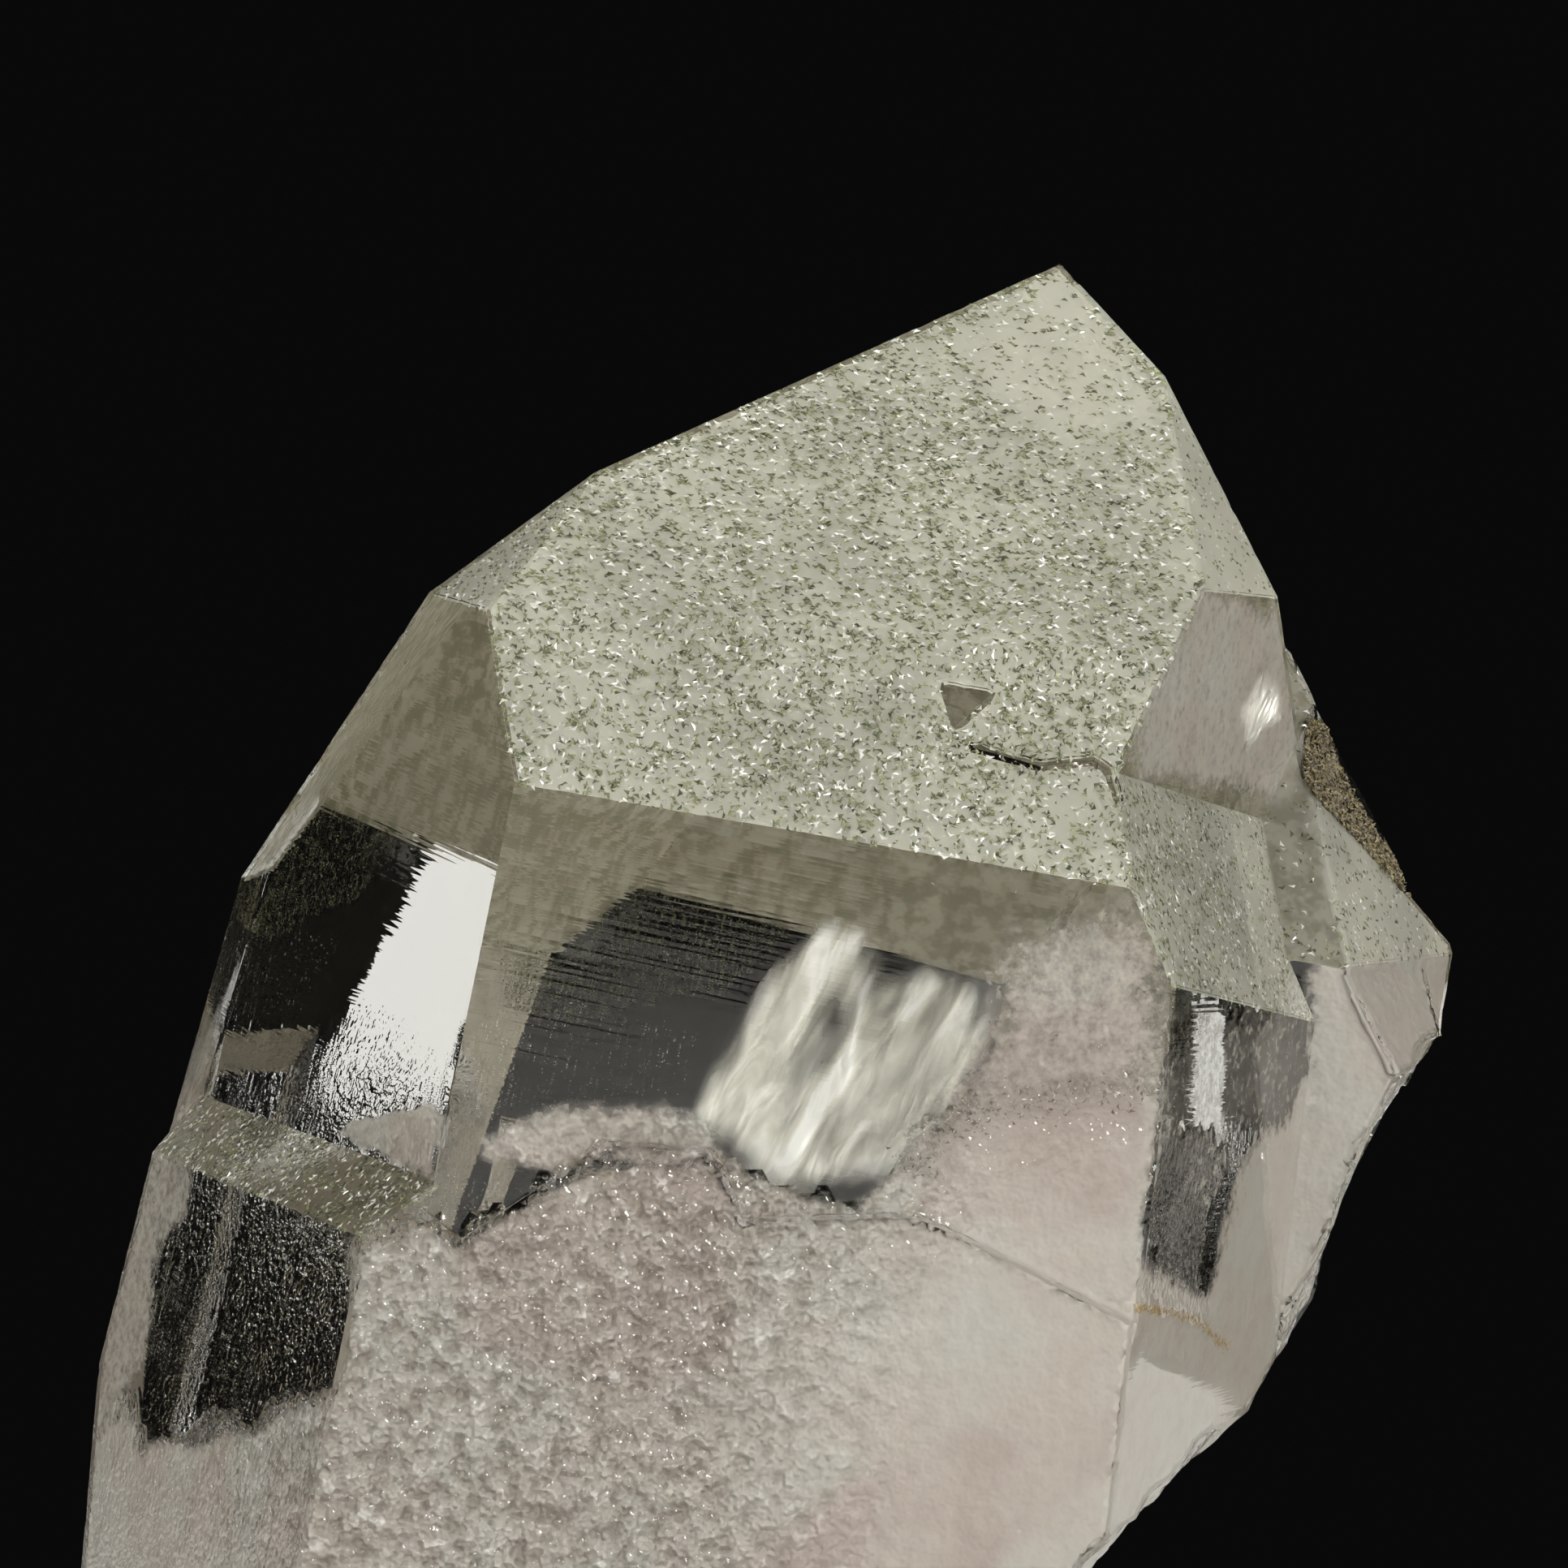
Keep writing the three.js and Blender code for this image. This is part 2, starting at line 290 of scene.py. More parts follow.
class FineSurface:
    """The CAD solid with every flat face filled by small even triangles.

    For each point it knows which way the surface looks, and how far in millimetres its face's border is.
    """

    def __init__(self, faces):
        self.faces = faces
        self.points = [tuple(corner) for corner in faces.corners]
        self.chains = {}
        self.triangles = []
        self.triangle_groups = []
        self.gaps = {}
        for group in np.unique(faces.groups):
            self.fill(group)
        self.points = np.array(self.points)
        self.triangles = np.array(self.triangles)
        self.triangle_groups = np.array(self.triangle_groups)
        self.gap = np.zeros(len(self.points))
        self.gap[list(self.gaps)] = list(self.gaps.values())
        self.normals = self.point_normals()

    def chain(self, start, end):
        """The points along an edge, the same ones for both faces that share it."""
        key = (min(start, end), max(start, end))
        if key not in self.chains:
            a, b = self.faces.corners[key[0]], self.faces.corners[key[1]]
            pieces = max(1, math.ceil(np.linalg.norm(b - a) / (FRONT_SPACING * MM)))
            first = len(self.points)
            self.points += [tuple(a + (b - a) * i / pieces) for i in range(1, pieces)]
            self.chains[key] = [key[0], *range(first, len(self.points)), key[1]]
        run = self.chains[key]
        return run if start == key[0] else run[::-1]

    def fill(self, group):
        normal = self.faces.normal(group)
        level, up = plane_axes(normal)
        order = {}
        segments = []
        for start, end in self.faces.border(group):
            run = self.chain(start, end)
            for index in run:
                order.setdefault(index, len(order))
            segments += [(order[p], order[q]) for p, q in zip(run, run[1:])]
        used = list(order)
        rim = np.array([self.points[i] for i in used])
        origin = rim[0]
        flat = np.stack([(rim - origin) @ level, (rim - origin) @ up], 1) / MM
        fill = grid_within(flat, segments, spacing_of(normal))
        if len(fill):
            starts, ends = flat[[a for a, _ in segments]], flat[[b for _, b in segments]]
            gaps = distance_to_segments(fill, starts, ends)
            self.gaps.update(zip(range(len(self.points), len(self.points) + len(fill)), gaps))
            used += range(len(self.points), len(self.points) + len(fill))
            self.points += [tuple(origin + (u * level + v * up) * MM) for u, v in fill]
        corners = [Vector(p) for p in np.vstack([flat, fill]).tolist()]
        found = delaunay_2d_cdt(corners, segments, [], 2, 1e-6)
        for face in found[2]:
            triangle = [used[found[3][corner][0]] for corner in face]
            if len(set(triangle)) == 3:
                self.triangles.append(triangle)
                self.triangle_groups.append(group)

    def point_normals(self):
        a, b, c = (self.points[self.triangles[:, i]] for i in range(3))
        across = np.cross(b - a, c - a)
        across /= np.maximum(np.linalg.norm(across, axis=1, keepdims=True), 1e-20)
        normals = np.zeros_like(self.points)
        for i in range(3):
            np.add.at(normals, self.triangles[:, i], across)
        return normals / np.maximum(np.linalg.norm(normals, axis=1, keepdims=True), 1e-20)


def sheet_under(surface, grown, chosen, depth):
    """The chosen triangles of the fine surface, moved to a depth in millimetres under the grown surface.

    Gives the points, the triangles and which surface points they are.
    """
    used, index = np.unique(surface.triangles[chosen], return_inverse=True)
    return grown[used] - surface.normals[used] * depth * MM, index.reshape(-1, 3), used


def make_object(name, points, triangles):
    mesh = bpy.data.meshes.new(name)
    mesh.from_pydata(np.asarray(points).tolist(), [], np.asarray(triangles).tolist())
    mesh.validate()
    piece = bpy.data.objects.new(name, mesh)
    bpy.context.scene.collection.objects.link(piece)
    return piece


def add_values(piece, name, values, domain="POINT"):
    """Stores a number for each point, or each face, that a material reads."""
    attribute = piece.data.attributes.new(name, "FLOAT", domain)
    attribute.data.foreach_set("value", np.asarray(values, np.float32))


class Nodes:
    """Short calls that add and link shader nodes."""

    def __init__(self, name):
        self.material = bpy.data.materials.new(name)
        self.material.use_nodes = True
        self.tree = self.material.node_tree
        self.tree.nodes.clear()
        self.output = self.add("ShaderNodeOutputMaterial")

    def add(self, kind, inputs=None, **settings):
        node = self.tree.nodes.new(kind)
        for key, value in settings.items():
            setattr(node, key, value)
        for key, value in (inputs or {}).items():
            self.put(node.inputs[key], value)
        return node

    def put(self, socket, value):
        if isinstance(value, bpy.types.NodeSocket):
            self.tree.links.new(value, socket)
        else:
            socket.default_value = value

    def math(self, operation, *values, clamp=False):
        node = self.add("ShaderNodeMath", operation=operation, use_clamp=clamp)
        for socket, value in zip(node.inputs, values):
            self.put(socket, value)
        return node.outputs[0]

    def ramp(self, value, low, high):
        """0 below low, 1 above high, smooth between."""
        node = self.add("ShaderNodeMapRange", {"Value": value, "From Min": low, "From Max": high},
                        interpolation_type="SMOOTHSTEP")
        return node.outputs[0]

    def place(self):
        return self.add("ShaderNodeTexCoord").outputs["Object"]

    def leaned(self, lean):
        """Places turned back by a lean about the Y axis."""
        node = self.add("ShaderNodeVectorRotate", {"Vector": self.place(), "Angle": -lean},
                        rotation_type="Y_AXIS")
        return node.outputs[0]

    def noise(self, place, scale, detail, more=None):
        inputs = {"Vector": place, "Scale": scale, "Detail": detail, **(more or {})}
        return self.add("ShaderNodeTexNoise", inputs).outputs[0]

    def attribute(self, name):
        return self.add("ShaderNodeAttribute", attribute_name=name).outputs["Fac"]

    def bump(self, height, distance, more=None):
        """A bumpy surface direction, for a height in millimetres."""
        inputs = {"Height": height, "Distance": distance * MM, "Strength": 1.0, **(more or {})}
        return self.add("ShaderNodeBump", inputs).outputs[0]

    def blend(self, share, first, second):
        """From the first colour to the second as the share goes from 0 to 1."""
        node = self.add("ShaderNodeMix", {"Factor": share, "A": first, "B": second}, data_type="RGBA")
        return node.outputs["Result"]

    def colors(self, value, *stops):
        """The colour for a value, between stops that are each a position and a colour, low to high."""
        node = self.add("ShaderNodeValToRGB", {"Fac": value})
        elements = node.color_ramp.elements
        for element, (position, color) in zip(elements, (stops[0], stops[-1])):
            element.position = position
            element.color = color
        for position, color in stops[1:-1]:
            elements.new(position).color = color
        return node.outputs[0]

    def principled(self, color, roughness, more=None):
        inputs = {"Base Color": color, "Roughness": roughness, **(more or {})}
        return self.add("ShaderNodeBsdfPrincipled", inputs)

    def sheet(self, front, color, through, cover):
        """A thin sheet that lets some light through and is clear where its cover is 0."""
        lit_through = self.add("ShaderNodeBsdfTranslucent", {"Color": color})
        both = self.add("ShaderNodeMixShader", {0: through, 1: front.outputs[0], 2: lit_through.outputs[0]})
        clear = self.add("ShaderNodeBsdfTransparent")
        return self.add("ShaderNodeMixShader", {0: cover, 1: clear.outputs[0], 2: both.outputs[0]})

    def made(self, surface):
        """The material, with its surface linked."""
        self.put(self.output.inputs["Surface"], surface.outputs[0])
        return self.material


IOR = 1.544
GLASS_TINT = (0.86, 0.845, 0.73, 1)
GLASS_DENSITY = 18.0
LINE_SCALE = (160, 160, 7500)
LINE_BUMP = 0.0045
FROST_BUMP = 0.11


def quartz_material():
    n = Nodes("quartz")
    leaned = n.leaned(LEAN)
    lines = n.add("ShaderNodeMapping", {"Vector": leaned, "Scale": LINE_SCALE})
    fine = n.noise(lines.outputs[0], 1.0, 1.0)
    patches = n.noise(leaned, 210.0, 0.0)
    lined_height = n.math("MULTIPLY", fine, n.ramp(patches, 0.35, 0.65))
    frost = n.attribute("frost")
    grain = n.noise(leaned, 5200.0, 1.0)
    lined = n.bump(lined_height, LINE_BUMP)
    frosted = n.bump(n.math("MULTIPLY", grain, frost), FROST_BUMP, {"Normal": lined})
    surface = n.principled((1, 1, 1, 1), n.math("MULTIPLY_ADD", frost, 0.14, 0.012),
                           {"IOR": IOR, "Transmission Weight": 1.0, "Normal": frosted})
    inside = n.add("ShaderNodeVolumeAbsorption", {"Color": GLASS_TINT, "Density": GLASS_DENSITY})
    n.put(n.output.inputs["Volume"], inside.outputs[0])
    return n.made(surface)


# Zones of the surface, as outlines in the photograph
BUMPY_FRONT = [(440, 1500), (530, 1505), (575, 1530), (742, 1415), (800, 1425), (905, 1440), (915, 1600),
               (880, 1750), (900, 2700), (380, 2700), (430, 1700)]
WORN_FRONT = [(905, 1440), (1060, 1500), (1130, 1390), (1260, 1340), (1400, 1340), (1400, 1400),
              (1180, 1480), (1120, 1620), (915, 1640)]
BUMPY_LEFT = [(-200, 2700), (60, 1900), (120, 1760), (150, 1700), (180, 1790), (330, 1735), (440, 1700),
              (400, 2700)]
PITTED_STRIP = [(1425, 1390), (1500, 1400), (1480, 1620), (1410, 1600)]
FROST_TOP = -9.0
FROST_BOTTOM = -17.0
FROST_HIDDEN = 0.8


def frost_of(place, pixels, normals):
    """How frosted the surface is at each point, from 0 to 1."""
    shown = looks_at_camera(normals)
    wander = noise_at(place, 1.6, 3)[:, None] * (22, 22) + noise_at(place, 0.5, 4)[:, None] * (12, -12)
    moved = pixels + wander
    frost = np.zeros(len(place))
    for outline, strength in ((BUMPY_FRONT, 1.0), (WORN_FRONT, 0.7), (BUMPY_LEFT, 0.9), (PITTED_STRIP, 0.8)):
        frost = np.maximum(frost, strength * within_outline(outline, moved))
    height = place[:, 2] + 2.0 * noise_at(place, 5.0, 5)
    hidden = FROST_HIDDEN * smooth_step(FROST_TOP, FROST_BOTTOM, height)
    return np.where(shown, frost, hidden)


GROWTH_LINE = 0.006
WAVE = 0.006
BUMP = 0.075
EDGE_WEAR = 0.05
EDGE_REACH = 0.5
BROKEN_AREA = 4.0
BROKEN_DROP = 5.0
BROKEN_ROUGHNESS = 0.16
BROKEN_FROST = 0.45
FOOT_HEIGHT = 0.02
SHARP_FROM = math.radians(14)


def relief_of(surface, place, frost):
    """How far the grown surface lies inside the CAD solid at each point, in millimetres."""
    upright = np.abs(surface.normals @ LEANING[:, 2]) < 0.25
    lines = 1 + noise_at(place * (0.1, 0.1, 1.0), 1.3, 7)
    depth = np.where(upright, GROWTH_LINE * lines, 0)
    depth += WAVE * (0.5 + 0.5 * noise_at(place, 3.5, 8))
    bumps = 0.5 + 0.5 * noise_at(place, 0.9, 9)
    depth += BUMP * frost * np.clip(bumps, 0, None)
    near = np.clip(surface.gap / EDGE_REACH, 0, 1)
    wear = EDGE_WEAR * np.clip(noise_at(place, 0.7, 11) + 0.5 * noise_at(place, 0.25, 12) - 0.15, 0, None)
    return depth * near + wear * (surface.gap == 0)


def broken_points(surface):
    """The points of the broken flank, whose faces are small."""
    faces = surface.faces
    small = [g for g in np.unique(faces.groups) if faces.area(g) < BROKEN_AREA * MM**2]
    members = np.isin(surface.triangle_groups, small)
    broken = np.zeros(len(surface.points), bool)
    broken[surface.triangles[members].ravel()] = True
    others = np.zeros(len(surface.points), bool)
    others[surface.triangles[~members].ravel()] = True
    low = surface.points[:, 2] < AXIS_PLACE[2] - BROKEN_DROP * MM
    return broken & ~others & low


def crystal_surface(surface):
    place = to_crystal(surface.points)
    frost = frost_of(place, to_pixels(surface.points), surface.normals)
    depth = relief_of(surface, place, frost)
    broken = broken_points(surface)
    shell = noise_at(place, 1.4, 13) + 0.5 * noise_at(place, 0.6, 14) + 0.9
    depth = np.where(broken, BROKEN_ROUGHNESS * np.clip(shell, 0, None), depth)
    frost = np.where(broken, BROKEN_FROST, frost)
    foot = surface.points[:, 2] < FOOT_HEIGHT * MM
    depth[foot] = 0
    points = surface.points - surface.normals * depth[:, None] * MM
    piece = make_object("clear_quartz", points, surface.triangles)
    piece.data.shade_smooth()
    piece.data.set_sharp_from_angle(angle=SHARP_FROM)
    add_values(piece, "frost", frost)
    piece.data.materials.append(quartz_material())
    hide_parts("quartz_crystal")
    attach(piece, "root")
    return points


def bent_line(pixel, faces):
    """Where the line of sight through a pixel enters the crystal, and its direction inside."""
    line = sight_line(pixel)
    hit, normal, _, _ = faces.tree.ray_cast(Vector(CAMERA_PLACE), Vector(line))
    normal = np.array(normal)
    slant = -line @ normal
    bent = line / IOR + (slant / IOR - math.sqrt(1 - (1 - slant**2) / IOR**2)) * normal
    return np.array(hit), bent


def inside_plane(pixel, faces, place, outward):
    """Where the line of sight through a pixel meets a plane inside the crystal."""
    hit, bent = bent_line(pixel, faces)
    return hit + bent * ((place - hit) @ outward) / (bent @ outward)


def behind(pixels, faces):
    """Where the lines of sight through some pixels meet the crystal's back, and which way it looks there."""
    places, normals = [], []
    for pixel in pixels:
        if faces.tree.ray_cast(Vector(CAMERA_PLACE), Vector(sight_line(pixel)))[0] is None:
            continue
        hit, bent = bent_line(pixel, faces)
        far, normal, _, _ = faces.tree.ray_cast(Vector(hit + bent * 0.01 * MM), Vector(bent))
        places.append(far)
        normals.append(normal)
    return np.array(places), np.array(normals)


# Inner cracks: thin rippled sheets with a silvery, streaked face. Their grey to near-white streaks are
# partly the crack's own pale face and partly a painted reflection of its bright shine.
CRACK_OUTLINE = [(975, 1155), (1020, 1125), (1075, 1135), (1095, 1190), (1150, 1180), (1240, 1215),
                 (1235, 1290), (1160, 1395), (1120, 1455), (1040, 1470), (950, 1475), (890, 1420),
                 (830, 1375), (870, 1310), (925, 1225)]
CRACK_PLACE = (2.5, -8.0, -6.5)
CRACK_FACING = (-128, 24)
CRACK_SPACING = 0.13
SIDE_FILM_OUTLINE = [(1505, 810), (1535, 778), (1562, 790), (1568, 835), (1562, 880), (1535, 935),
                     (1505, 925), (1515, 870)]
SIDE_FILM_DEPTH = 1.3
SIDE_FILM_FACING = (-96, 22)
FILM_LEAN = math.radians(24)
FILM_EDGE = 0.9
RIPPLE_CENTRE = (1.5, 4.5)
RIPPLE_STRETCH = (1.0, 0.45)
RIPPLE = 0.07
RIPPLE_RATE = 4.2


def rippled_sheet(faces, outline, place, outward):
    """A rippled sheet through a place inside the crystal, within an outline in the photograph.

    Gives its points, its triangles, how far each point is from the rim and where the noise reads it.
    """
    level, up = plane_axes(outward)
    rim = np.array([inside_plane(pixel, faces, place, outward) for pixel in outline])
    flat = np.stack([(rim - place) @ level, (rim - place) @ up], 1) / MM
    segments = [(i, (i + 1) % len(flat)) for i in range(len(flat))]
    fill = grid_within(flat, segments, CRACK_SPACING)
    both = np.vstack([flat, fill])
    found = delaunay_2d_cdt([Vector(p) for p in both.tolist()], segments, [], 2, 1e-6)
    sheet = np.array([[found[3][corner][0] for corner in face] for face in found[2]])
    gap = np.hstack([np.zeros(len(flat)), distance_to_segments(fill, flat, np.roll(flat, -1, axis=0))])
    centre = both.mean(0)
    reach = np.linalg.norm((both - centre - RIPPLE_CENTRE) * RIPPLE_STRETCH, axis=1)
    place3 = np.hstack([both * (1.0, 0.35), np.zeros((len(both), 1))])
    ripple = RIPPLE * np.sin(reach * RIPPLE_RATE + 1.8 * noise_at(place3, 1.6, 20))
    ripple += 2 * RIPPLE * noise_at(place3, 1.1, 21)
    bulge = -0.02 * (reach - 3) ** 2
    middle = place + (both[:, :1] * level + both[:, 1:] * up) * MM + (ripple + bulge)[:, None] * outward * MM
    return middle, sheet, gap, place3


def silver_film(name, faces, outline, place, outward):
    """A rippled sheet with a silvery face, partly metallic gloss and partly painted bright streaks, which
    thins out towards its rim.
    """
    points, sheet, gap, place3 = rippled_sheet(faces, outline, place, outward)
    film = make_object(name, points, sheet)
    film.data.shade_smooth()
    add_values(film, "cover", smooth_step(0, FILM_EDGE, gap + 0.3 * noise_at(place3, 0.5, 23)))
    film.data.materials.append(film_material())
    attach(film, "root")


def inner_cracks(faces):
    silver_film("crack_film", faces, CRACK_OUTLINE, from_crystal(np.array(CRACK_PLACE)),
                direction(*CRACK_FACING))
    hit, bent = bent_line(np.mean(SIDE_FILM_OUTLINE, axis=0), faces)
    silver_film("side_film", faces, SIDE_FILM_OUTLINE, hit + bent * SIDE_FILM_DEPTH * MM,
                direction(*SIDE_FILM_FACING))


def film_material():
    """The face of an inner crack, streaked along the crystal and broken by clear patches. Its grey to
    near-white streaks are partly the crack's own pale face and partly a painted reflection of its bright
    shine; the metallic gloss is real.
    """
    n = Nodes("crack_film")
    stretched = n.add("ShaderNodeMapping", {"Vector": n.leaned(FILM_LEAN), "Scale": (1.0, 0.6, 0.2)})
    streak = n.noise(stretched.outputs[0], 1500.0, 3.0, {"Distortion": 0.5})
    patch = n.noise(stretched.outputs[0], 700.0, 2.0)
    # Painted reflection: the streak colours climb to near white where the crack would shine
    colors = n.colors(streak, (0.34, (0.34, 0.33, 0.28, 1)), (0.54, (0.66, 0.65, 0.57, 1)),
                      (0.68, (1.0, 1.0, 0.96, 1)))
    silvery = n.math("MULTIPLY", n.ramp(patch, 0.22, 0.42), n.attribute("cover"))
    return n.made(n.principled(colors, 0.32, {"Metallic": 0.35, "Normal": n.bump(streak, 0.16),
                                              "Alpha": silvery}))


# Growth flakes of chlorite. The palest of them are painted glints: near-white specks that stand in for light
# sparkling off the flakes.
FLAKE_RIM = 4


def flake_template():
    """A flat, curled grain: a rim between an upper and a lower tip."""
    turn = np.arange(FLAKE_RIM) * 2 * math.pi / FLAKE_RIM
    rim = np.stack([np.cos(turn), 0.42 * np.sin(turn), np.zeros(FLAKE_RIM)], 1)
    points = np.vstack([rim, [[0, 0, 0.16]], [[0, 0, -0.16]]])
    points[:, 1] += 0.55 * (points[:, 0] ** 2 - 0.4)
    triangles = []
    for i in range(FLAKE_RIM):
        following = (i + 1) % FLAKE_RIM
        triangles += [(i, following, FLAKE_RIM), (following, i, FLAKE_RIM + 1)]
    return points, np.array(triangles)


def flakes(name, places, normals, half_lengths, turns, tilt, material):
    """Many flakes joined in one mesh, each lying about flat on the surface that it grew on."""
    template, template_triangles = flake_template()
    count = len(places)
    level = np.cross((0, 0, 1), normals)
    level /= np.linalg.norm(level, axis=1, keepdims=True)
    up = np.cross(normals, level)
    along = np.cos(turns)[:, None] * level + np.sin(turns)[:, None] * up
    out = normals + tilt * random_numbers.normal(size=(count, 3))
    out /= np.linalg.norm(out, axis=1, keepdims=True)
    across = np.cross(out, along)
    across /= np.linalg.norm(across, axis=1, keepdims=True)
    along = np.cross(across, out)
    hand = random_numbers.choice((-1.0, 1.0), count)
    size = half_lengths[:, None, None]
    points = (places[:, None, :]
              + size * (template[None, :, 0, None] * along[:, None, :]
                        + (hand[:, None, None] * template[None, :, 1, None]) * across[:, None, :]
                        + template[None, :, 2, None] * out[:, None, :]))
    triangles = template_triangles[None] + (np.arange(count) * len(template))[:, None, None]
    turned = hand < 0
    triangles[turned] = triangles[turned][:, :, ::-1]
    piece = make_object(name, points.reshape(-1, 3), triangles.reshape(-1, 3))
    shade = np.repeat(random_numbers.random(count), len(template_triangles))
    add_values(piece, "shade", shade, "FACE")
    piece.data.materials.append(material)
    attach(piece, "root")


def chlorite_with_painted_glints_material():
    n = Nodes("chlorite")
    # Painted glints: flakes whose shade is above 0.82 get this near-white colour, standing in for sparkle
    pale = (0.92, 0.91, 0.84, 1)
    colors = n.colors(n.attribute("shade"), (0.0, (0.05, 0.058, 0.022, 1)), (0.80, (0.31, 0.32, 0.17, 1)),
                      (0.82, pale), (1.0, pale))
    return n.made(n.principled(colors, 0.35))


def dust_material():
    n = Nodes("pale_dust")
    place = n.place()
    tone = n.noise(place, 300.0, 2.0)
    pale = n.colors(tone, (0.35, (0.60, 0.595, 0.50, 1)), (0.65, (0.76, 0.75, 0.63, 1)))
    mottle = n.noise(place, 1600.0, 2.0, {"Roughness": 0.65})
    olive = n.blend(n.ramp(mottle, 0.38, 0.62), (0.30, 0.28, 0.19, 1), (0.60, 0.57, 0.45, 1))
    cover = n.attribute("cover")
    color = n.blend(n.ramp(cover, 0.65, 0.78), olive, pale)
    return n.made(n.sheet(n.principled(color, 0.6), color, 0.4, cover))


# Dusted faces: a pixel that shows each, or where it looks, its flakes per square millimetre, and how much
# pale dust covers it
DUSTED = {
    "front_point": ((1000, 700), 62.0, 0.93),
    "front_point_corner": ((1345, 990), 62.0, 0.93),
    "left_point": ((560, 725), 52.0, 0.8),
    "right_point": ((1480, 640), 16.0, 0.9),
    "ledge_point": ((1480, 1100), 44.0, 0.8),
    "side_point": ((1690, 1120), 18.0, 0.85),
    "side_flank": ((1600, 1080), 14.0, 0.7),
    "proud_ledge": ((300, 1430), 60.0, 0.25),
}
DUSTED_BEHIND = {
    "back_point": ((88, 38), 2.0, 0.62),
    "back_left_point": ((149, 37), 2.0, 0.6),
    "back_right_point": ((29, 38), 0.5, 0.95),
}
FLAKE_DEPTHS = (0.05, 0.19)
FLAKE_HALF_LENGTHS = (0.055, 0.14)
SILVER_SHARE = 0.14
FLAKE_TILT = 0.35
SILVER_TILT = 0.3
TIP_THINNED = 0.65
KEPT = 0.78
KEPT_SWING = 0.4
STREAK_TURN = -0.25
STREAKED_ABOVE = [(600, 745), (1000, 760), (1100, 790), (1440, 800)]
MILKY_TIP = [(1170, 420), (1300, 330), (1440, 520), (1330, 560), (1250, 500)]
PIT_IN_PHOTO = [(1155, 832), (1228, 846), (1177, 902)]


def dusted_faces(faces):
    """Each dusted flat face, with its flakes per square millimetre and its cover of pale dust."""
    found = {}
    shown = [(faces.seen_at(pixel), density, cover) for pixel, density, cover in DUSTED.values()]
    hidden = [(faces.facing(*way), density, cover) for way, density, cover in DUSTED_BEHIND.values()]
    for group, density, cover in shown + hidden:
        found.update({alike: (density, cover) for alike in faces.alike(group)})
    return found


def chlorite_flakes_with_painted_glints(faces):
    places, normals, sizes, turns = [], [], [], []
    for group, (density, _) in dusted_faces(faces).items():
        normal = faces.normal(group)
        count = int(density * faces.area(group) / MM**2)
        surface = faces.sample(group, count)
        pixels = to_pixels(surface)
        keep = ~within_outline(PIT_IN_PHOTO, pixels)
        tip = within_outline(MILKY_TIP, pixels)
        keep &= ~(tip & (random_numbers.random(count) < TIP_THINNED))
        keep &= random_numbers.random(count) < KEPT + KEPT_SWING * noise_at(to_crystal(surface), 3.0, 40)
        surface, pixels = surface[keep], pixels[keep]
        count = len(surface)
        depth = random_numbers.uniform(*FLAKE_DEPTHS, count)[:, None] * MM
        places.append(surface - depth * normal)
        normals.append(np.repeat(normal[None], count, 0))
        sizes.append(random_numbers.uniform(*FLAKE_HALF_LENGTHS, count) * MM)
        line = np.interp(pixels[:, 0], *zip(*STREAKED_ABOVE))
        streaked = pixels[:, 1] < line
        free = random_numbers.uniform(0, math.pi, count)
        turns.append(np.where(streaked, random_numbers.normal(STREAK_TURN, 0.35, count), free))
    places, normals, sizes, turns = np.vstack(places), np.vstack(normals), np.hstack(sizes), np.hstack(turns)
    silver = random_numbers.random(len(places)) < SILVER_SHARE
    dark = ~silver
    flakes("chlorite_flakes_with_painted_glints", places[dark], normals[dark], sizes[dark], turns[dark], FLAKE_TILT,
           chlorite_with_painted_glints_material())
    flakes("silver_flakes", places[silver], normals[silver], sizes[silver], turns[silver], SILVER_TILT,
           silver_material())


def silver_material():
    n = Nodes("silver_flakes")
    return n.made(n.principled((0.80, 0.80, 0.74, 1), 0.28, {"Metallic": 0.85}))


DUST_DEPTH = 0.2


def pale_dust(surface, grown):
    """A thin dusted growth layer just under the dusted faces."""
    covers = {group: cover for group, (_, cover) in dusted_faces(surface.faces).items()}
    chosen = np.isin(surface.triangle_groups, list(covers))
    points, triangles, _ = sheet_under(surface, grown, chosen, DUST_DEPTH)
    cover = np.zeros(len(points), np.float32)
    cover[triangles] = np.array([covers[group] for group in surface.triangle_groups[chosen]])[:, None]
    piece = make_object("pale_dust", points, triangles)
    add_values(piece, "cover", cover)
    piece.data.materials.append(dust_material())
    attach(piece, "root")


# Chlorite packed in the groove beside the small crystal, an iron stain low on the right, and dark grains
# that paint the shade in a line of small pits
SEAM_OUTLINE = [(1612, 886), (1634, 890), (1646, 935), (1684, 1005), (1745, 1100), (1737, 1108),
                (1668, 1030), (1630, 992), (1607, 958), (1606, 920)]
STAIN_PATH = [(1402, 1612), (1440, 1616), (1478, 1628), (1512, 1660)]
PIT_PATH = [(1120, 1440), (1165, 1395), (1230, 1366), (1310, 1350), (1420, 1345)]
SEAM_FLAKES = 4500
STAIN_FLAKES = 500
PAINTED_PIT_SHADE_GRAINS = 420
GRAIN_DEPTHS = (0.05, 0.18)
SEAM_DEPTHS = (-0.04, 0.10)
SEAM_HALF_LENGTHS = (0.06, 0.14)
WINDOW_GRAIN_DEPTHS = (0.1, 0.5)


def seen_points(faces, pixels):
    """The surface points, and the surface's directions, that show at some pixels."""
    hits = [faces.tree.ray_cast(Vector(CAMERA_PLACE), Vector(sight_line(pixel))) for pixel in pixels]
    hits = [hit for hit in hits if hit[0] is not None]
    return np.array([hit[0] for hit in hits]), np.array([hit[1] for hit in hits])


